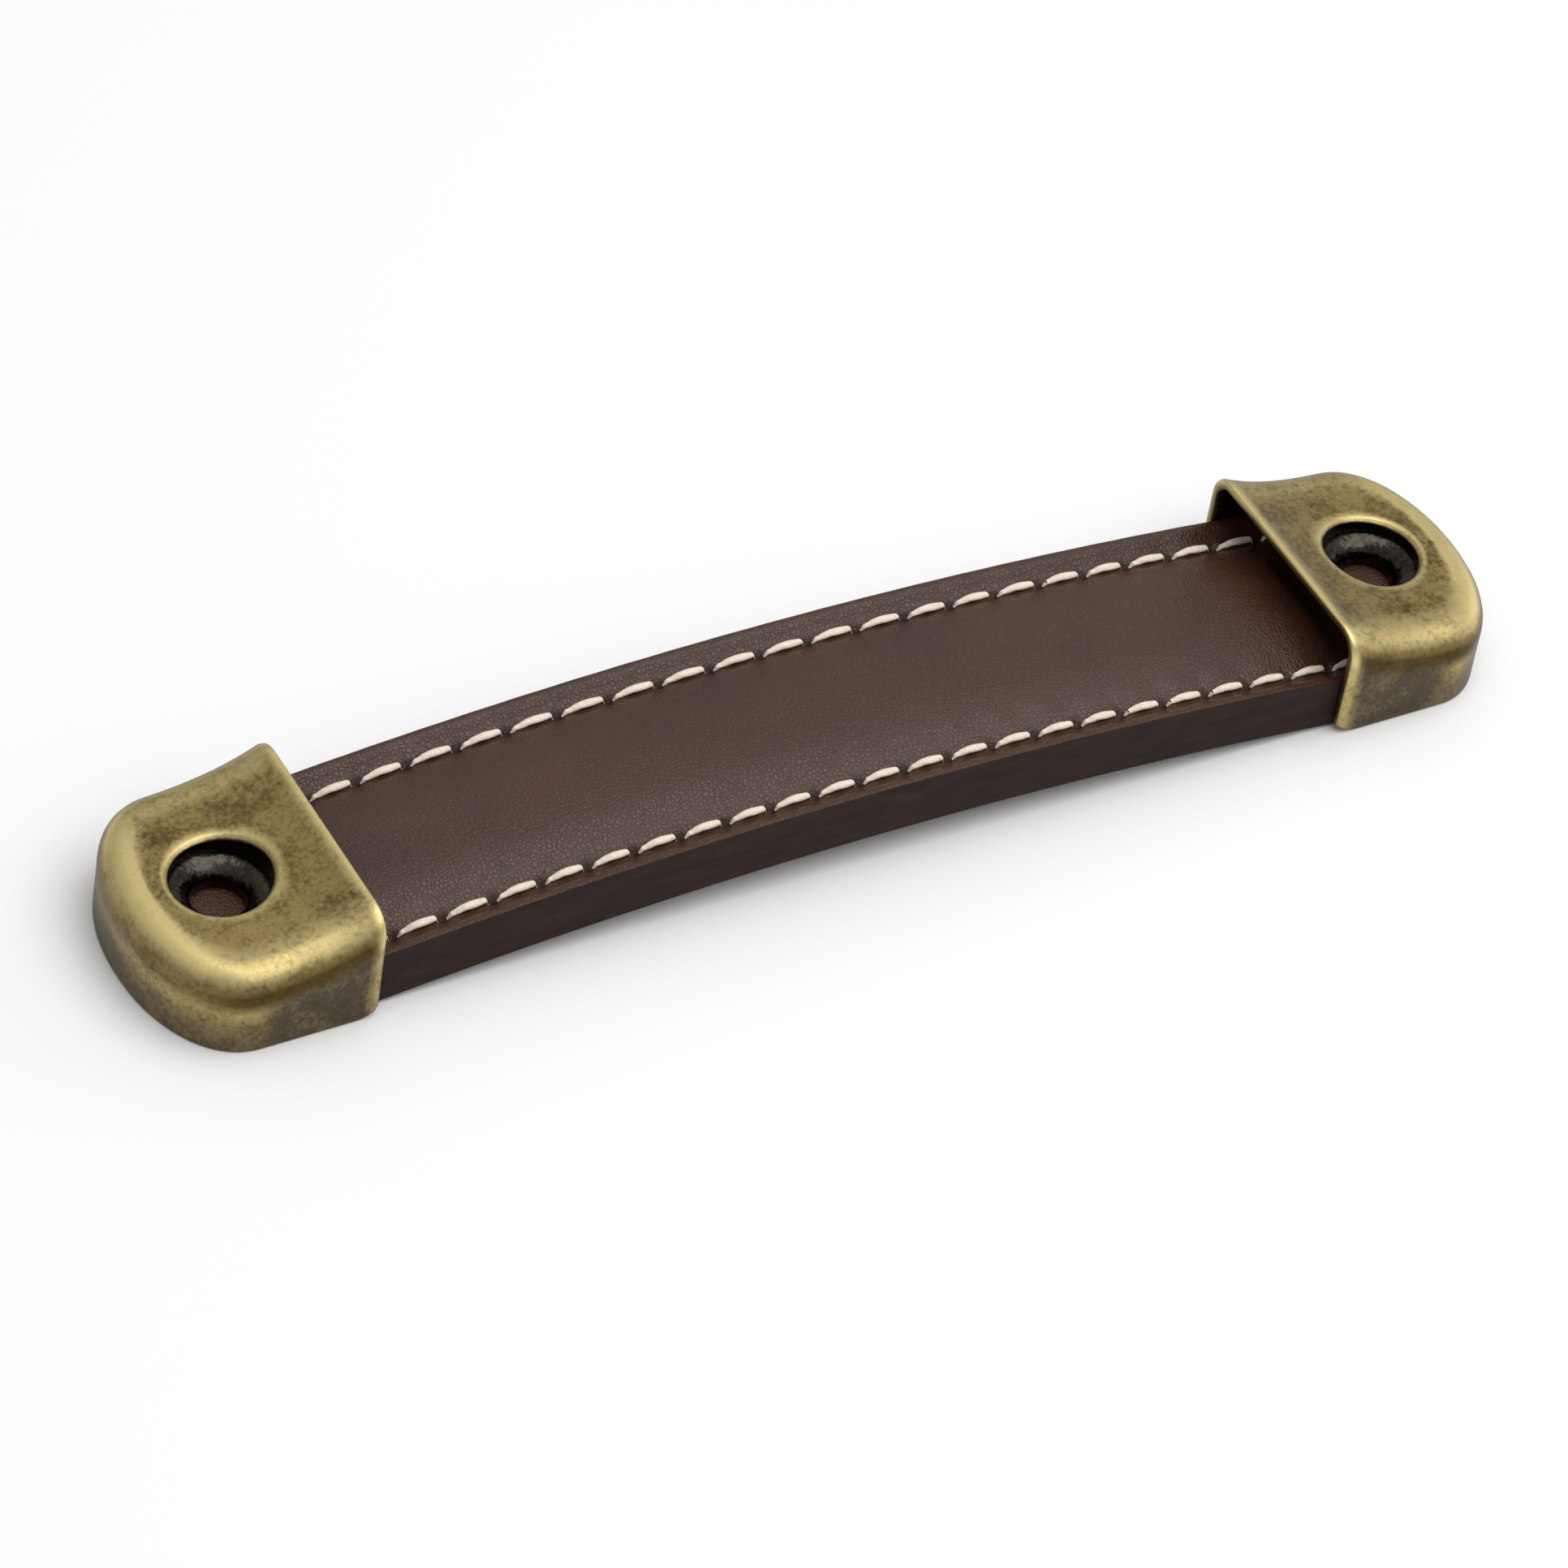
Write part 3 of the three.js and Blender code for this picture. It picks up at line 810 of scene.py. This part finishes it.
def cap_shape():
    """The casting, drawn out ring by ring from the hole over the roof and down the walls, with a
    second skin inside it and its free edges rounded. It keeps its wear, its painted shade and its
    painted highlight as attributes."""
    bm = bmesh.new()
    ring_mark = bm.verts.layers.int.new("ring")
    ray_mark = bm.verts.layers.int.new("ray")
    bare_mark = bm.verts.layers.float.new("bare")
    painted_shade_mark = bm.verts.layers.float.new("painted_shade")
    wall_shade_mark = bm.verts.layers.float.new("wall_shade")
    hollow_mark = bm.verts.layers.float.new("hollow")
    made = bmesh.ops.create_circle(bm, cap_ends=False, segments=ray_count, radius=throat_radius)
    for v in made["verts"]:
        turn = math.atan2(v.co.y, v.co.x)
        v[ray_mark] = round(turn / (2 * math.pi) * ray_count) % ray_count
    edges = list(bm.edges)
    for ring in range(1, len(rings)):
        if ring == first_wall_ring:
            edges = [e for e in edges if all(v[ray_mark] <= wall_rays for v in e.verts)
                     and {v[ray_mark] for v in e.verts} != {0, wall_rays}]
        made = bmesh.ops.extrude_edge_only(bm, edges=edges)
        verts = [g for g in made["geom"] if isinstance(g, bmesh.types.BMVert)]
        fresh = set(verts)
        edges = [g for g in made["geom"] if isinstance(g, bmesh.types.BMEdge)
                 and all(v in fresh for v in g.verts)]
        for v in verts:
            v[ring_mark] = ring
    for v in bm.verts:
        v.co = skin_point(v[ring_mark], v[ray_mark])
        v[bare_mark], v[painted_shade_mark], v[wall_shade_mark] = wear_at(v[ring_mark], v[ray_mark])
        kind, value = rings[v[ring_mark]]
        in_cup = kind in ("cup", "recess") or kind == "rim" and value < rim_dark_turn
        v[hollow_mark] = 1.0 if in_cup else 0.0
    bmesh.ops.recalc_face_normals(bm, faces=list(bm.faces))
    made = bmesh.ops.extrude_face_region(bm, geom=list(bm.faces), use_keep_orig=True)
    inner = [g for g in made["geom"] if isinstance(g, bmesh.types.BMVert)]
    inner_set = set(inner)
    for v in inner:
        v.co = inner_point(v[ring_mark], v[ray_mark])
        kind = rings[v[ring_mark]][0]
        back_from_mouth = skin_point(v[ring_mark], v[ray_mark])[0]
        at_mouth = kind not in ("cup", "recess", "rim") and back_from_mouth < mouth_edge
        # Inside, the mouth's inner edge is painted dark for the shade under the lip.
        v[bare_mark] = v[wall_shade_mark] = 0.0
        v[painted_shade_mark] = mouth_painted_shade if at_mouth else 0.0
        v[hollow_mark] = 0.0 if at_mouth else 1.0
    rims = []
    for edge in bm.edges:
        inside = [v in inner_set for v in edge.verts]
        if inside[0] != inside[1]:
            continue
        across = [f for f in edge.link_faces if len({v in inner_set for v in f.verts}) == 2]
        if len(across) == 1 and min(v[ring_mark] for v in edge.verts) > 0:
            rims.append(edge)
    bmesh.ops.recalc_face_normals(bm, faces=list(bm.faces))
    bmesh.ops.bevel(bm, geom=rims, offset=casting_round, affect="EDGES", segments=3,
                    profile=0.5, material=-1, clamp_overlap=True)
    bm.verts.layers.int.remove(bm.verts.layers.int["ring"])
    bm.verts.layers.int.remove(bm.verts.layers.int["ray"])
    bmesh.ops.translate(bm, vec=(mouth_x, 0, 0), verts=list(bm.verts))
    return bm


antique_brass, brass_shader = new_material("antique_brass", (0.3, 0.24, 0.1), 0.35,
                                           metallic=1.0)
polished_colour = (0.95, 0.78, 0.35, 1)
# The colour that the casting is darkened towards where it is seen edge-on: painted shade.
grazing_shade_colour = (0.045, 0.032, 0.012, 1)
speck_share = 0.6
mottle_middle = 0.8
hollow_smoother = 0.22
hollow_coarseness = 6.0


def brass_finish():
    """Patina over brass: mottled and dark where it stays, bright where it is rubbed off, with
    painted shade and a painted highlight laid into its colour.
    """
    tree = antique_brass.node_tree
    link = tree.links.new
    place = object_place(tree)
    blotch = add_node(tree, "ShaderNodeTexNoise", Scale=260.0, Detail=7.0, Roughness=0.72)
    speck = add_node(tree, "ShaderNodeTexNoise", Scale=2000.0, Detail=3.0, Roughness=0.6)
    link(place, blotch.inputs["Vector"])
    link(place, speck.inputs["Vector"])
    mottle = add_node(tree, "ShaderNodeMath", operation="MULTIPLY_ADD")
    link(speck.outputs["Fac"], mottle.inputs[0])
    mottle.inputs[1].default_value = speck_share
    link(blotch.outputs["Fac"], mottle.inputs[2])

    def mark(name, spread):
        """A mark of the casting, for wear and for painted shade alike, its edge broken up by the
        mottle.
        """
        painted = add_node(tree, "ShaderNodeAttribute", attribute_name=name)
        broken = add_node(tree, "ShaderNodeMath", operation="MULTIPLY_ADD")
        link(mottle.outputs["Value"], broken.inputs[0])
        broken.inputs[1].default_value = spread
        broken.inputs[2].default_value = -mottle_middle * spread
        total = add_node(tree, "ShaderNodeMath", operation="ADD", use_clamp=True)
        link(painted.outputs["Fac"], total.inputs[0])
        link(broken.outputs["Value"], total.inputs[1])
        return total.outputs["Value"]

    def mix(factor, below, above):
        """One colour laid over another by a factor."""
        node = add_node(tree, "ShaderNodeMix", data_type="RGBA")
        link(factor, node.inputs["Factor"])
        link(below, node.inputs["A"])
        link(above, node.inputs["B"])
        return node.outputs["Result"]

    value = mottle.outputs["Value"]
    patina = colour_ramp(tree, value, ((0.55, (0.1, 0.066, 0.024)), (0.73, (0.215, 0.152, 0.056)),
                                       (0.91, (0.36, 0.27, 0.105))))
    wall_shade = colour_ramp(tree, value, ((0.55, (0.056, 0.043, 0.027)), (0.75, (0.08, 0.062, 0.04)),
                                     (0.91, (0.11, 0.087, 0.053))))
    bare = colour_ramp(tree, value, ((0.55, (0.31, 0.23, 0.085)), (0.88, (0.575, 0.465, 0.215))))
    painted_shade = colour_ramp(tree, value, ((0.55, (0.03, 0.017, 0.005)), (0.95, (0.11, 0.07, 0.02))))
    black = colour_ramp(tree, value, ((0.6, (0.018, 0.015, 0.012)), (0.9, (0.06, 0.053, 0.044))))
    # The walls are painted a darker colour for the shade on them.
    colour = mix(mark("wall_shade", spread=0.3), patina, wall_shade)
    colour = mix(mark("bare", spread=0.8), colour, bare)
    # Where the bare mark passes 1 the brass is polished: by wear at the lip and the rim, and at the
    # back end partly as a painted highlight.
    rubbed = add_node(tree, "ShaderNodeAttribute", attribute_name="bare")
    most = add_node(tree, "ShaderNodeMath", operation="SUBTRACT", use_clamp=True)
    link(rubbed.outputs["Fac"], most.inputs[0])
    most.inputs[1].default_value = 1.0
    polished = add_node(tree, "ShaderNodeRGB")
    polished.outputs["Color"].default_value = polished_colour
    colour = mix(most.outputs["Value"], colour, polished.outputs["Color"])
    # Painted shade: a dark line under each shoulder for its dark reflection, and the mouth's inner
    # edge for the shade under the lip.
    colour = mix(mark("painted_shade", spread=0.8), colour, painted_shade)
    hollow = add_node(tree, "ShaderNodeAttribute", attribute_name="hollow")
    colour = mix(hollow.outputs["Fac"], colour, black)
    # Painted shade: the colour darkens towards umber where the surface is seen edge-on.
    edge_on = add_node(tree, "ShaderNodeLayerWeight", Blend=0.5)
    grazing_shade = add_node(tree, "ShaderNodeMapRange", From_Min=0.58, From_Max=0.93, To_Max=0.85)
    link(edge_on.outputs["Facing"], grazing_shade.inputs["Value"])
    grazing_shade_rgb = add_node(tree, "ShaderNodeRGB")
    grazing_shade_rgb.outputs["Color"].default_value = grazing_shade_colour
    colour = mix(grazing_shade.outputs["Result"], colour, grazing_shade_rgb.outputs["Color"])
    link(colour, brass_shader.inputs["Base Color"])
    rough = add_node(tree, "ShaderNodeMapRange", From_Min=0.55, From_Max=0.95, To_Min=0.32,
                     To_Max=0.46)
    link(value, rough.inputs["Value"])
    glossier = add_node(tree, "ShaderNodeMath", operation="MULTIPLY_ADD")
    link(hollow.outputs["Fac"], glossier.inputs[0])
    glossier.inputs[1].default_value = -hollow_smoother
    link(rough.outputs["Result"], glossier.inputs[2])
    link(glossier.outputs["Value"], brass_shader.inputs["Roughness"])
    uneven = add_node(tree, "ShaderNodeTexNoise", Scale=700.0, Detail=2.0)
    link(place, uneven.inputs["Vector"])
    coarse = add_node(tree, "ShaderNodeMath", operation="MULTIPLY")
    link(uneven.outputs["Fac"], coarse.inputs[0])
    link(hollow.outputs["Fac"], coarse.inputs[1])
    height = add_node(tree, "ShaderNodeMath", operation="MULTIPLY_ADD")
    link(coarse.outputs["Value"], height.inputs[0])
    height.inputs[1].default_value = hollow_coarseness
    link(value, height.inputs[2])
    bump = add_node(tree, "ShaderNodeBump", Distance=0.00003)
    link(height.outputs["Value"], bump.inputs["Height"])
    link(bump.outputs["Normal"], brass_shader.inputs["Normal"])


brass_finish()
for name, node, turn in (("right_cap", "right_end_cap", 0.0),
                         ("left_cap", "left_end_cap", math.pi)):
    bm = cap_shape()
    bmesh.ops.rotate(bm, cent=(0, 0, 0), matrix=Matrix.Rotation(turn, 3, "Z"),
                     verts=list(bm.verts))
    cap = finish_piece(bm, name, [antique_brass])
    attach(cap, "root")
    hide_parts(node)


# The stage.
# A pale floor just under the pull, one soft lamp over it and a pale surround. The floor can be
# seen through from below, so that the underside shows. All of it is in metres.
floor_height = -0.00005
floor_half = 3.0
floor_material, floor_shader = new_material("floor", (0.975, 0.975, 0.975), 0.8)
floor_tree = floor_material.node_tree
floor_side = floor_tree.nodes.new("ShaderNodeNewGeometry")
see_through = floor_tree.nodes.new("ShaderNodeBsdfTransparent")
one_sided = floor_tree.nodes.new("ShaderNodeMixShader")
floor_tree.links.new(floor_side.outputs["Backfacing"], one_sided.inputs[0])
floor_tree.links.new(floor_shader.outputs["BSDF"], one_sided.inputs[1])
floor_tree.links.new(see_through.outputs["BSDF"], one_sided.inputs[2])
floor_tree.links.new(one_sided.outputs["Shader"],
                     floor_tree.nodes["Material Output"].inputs["Surface"])
floor_mesh = bpy.data.meshes.new("floor")
floor_bm = bmesh.new()
bmesh.ops.create_grid(floor_bm, x_segments=1, y_segments=1, size=floor_half)
bmesh.ops.translate(floor_bm, vec=(0, 0, floor_height), verts=list(floor_bm.verts))
floor_bm.to_mesh(floor_mesh)
floor_bm.free()
floor_mesh.materials.append(floor_material)
floor = bpy.data.objects.new("floor", floor_mesh)
bpy.context.scene.collection.objects.link(floor)

lamp_place = Vector((0.22, -0.19, 0.72))
lamp_target = Vector((0.15, 0, 0))
lamp_light = bpy.data.lights.new("top_lamp", "AREA")
lamp_light.shape = "RECTANGLE"
lamp_light.size, lamp_light.size_y = 0.68, 0.9
lamp_light.energy = 3.55
lamp = bpy.data.objects.new("top_lamp", lamp_light)
lamp.location = lamp_place
lamp.rotation_euler = (lamp_target - lamp_place).to_track_quat("-Z", "Y").to_euler()
bpy.context.scene.collection.objects.link(lamp)

# The surround brightens with height and a little to the right, and has a window far to the right.
low_light, high_light, high_from = 0.3, 0.7, 0.8
rightward_gain = 0.2
window_light, window_starts, window_full = 0.8, 0.8, 0.95
world = bpy.data.worlds.new("surround")
bpy.context.scene.world = world
world.use_nodes = True
world_tree = world.node_tree
surround = world_tree.nodes["Background"]
direction = world_tree.nodes.new("ShaderNodeTexCoord")
facing = world_tree.nodes.new("ShaderNodeSeparateXYZ")
world_tree.links.new(direction.outputs["Generated"], facing.inputs["Vector"])
level = add_node(world_tree, "ShaderNodeMapRange", From_Min=0.0, From_Max=high_from,
                 To_Min=low_light, To_Max=high_light)
world_tree.links.new(facing.outputs["Z"], level.inputs["Value"])
sideways = add_node(world_tree, "ShaderNodeMath", operation="MULTIPLY_ADD")
world_tree.links.new(facing.outputs["X"], sideways.inputs[0])
sideways.inputs[1].default_value = rightward_gain
sideways.inputs[2].default_value = 1.0
strength = add_node(world_tree, "ShaderNodeMath", operation="MULTIPLY")
world_tree.links.new(level.outputs["Result"], strength.inputs[0])
world_tree.links.new(sideways.outputs["Value"], strength.inputs[1])
window = add_node(world_tree, "ShaderNodeMapRange", From_Min=window_starts,
                  From_Max=window_full, To_Min=0.0, To_Max=window_light)
world_tree.links.new(facing.outputs["X"], window.inputs["Value"])
with_window = add_node(world_tree, "ShaderNodeMath", operation="ADD")
world_tree.links.new(strength.outputs["Value"], with_window.inputs[0])
world_tree.links.new(window.outputs["Result"], with_window.inputs[1])
world_tree.links.new(with_window.outputs["Value"], surround.inputs["Strength"])
surround.inputs["Color"].default_value = (1, 1, 1, 1)
bpy.context.scene.view_settings.view_transform = "Standard"

# The camera stands where the photo was taken from, as worked out from the pull's own outlines.
camera_data = bpy.data.cameras.new("camera")
camera_data.sensor_width = 36.0
camera_data.lens = 186.335
camera_data.clip_end = 20
camera = bpy.data.objects.new("camera", camera_data)
camera.location = (-0.336644, -0.47118, 0.542203)
camera.rotation_euler = [math.radians(a) for a in (46.3823, -7.24799, -28.51602)]
bpy.context.scene.collection.objects.link(camera)
bpy.context.scene.camera = camera
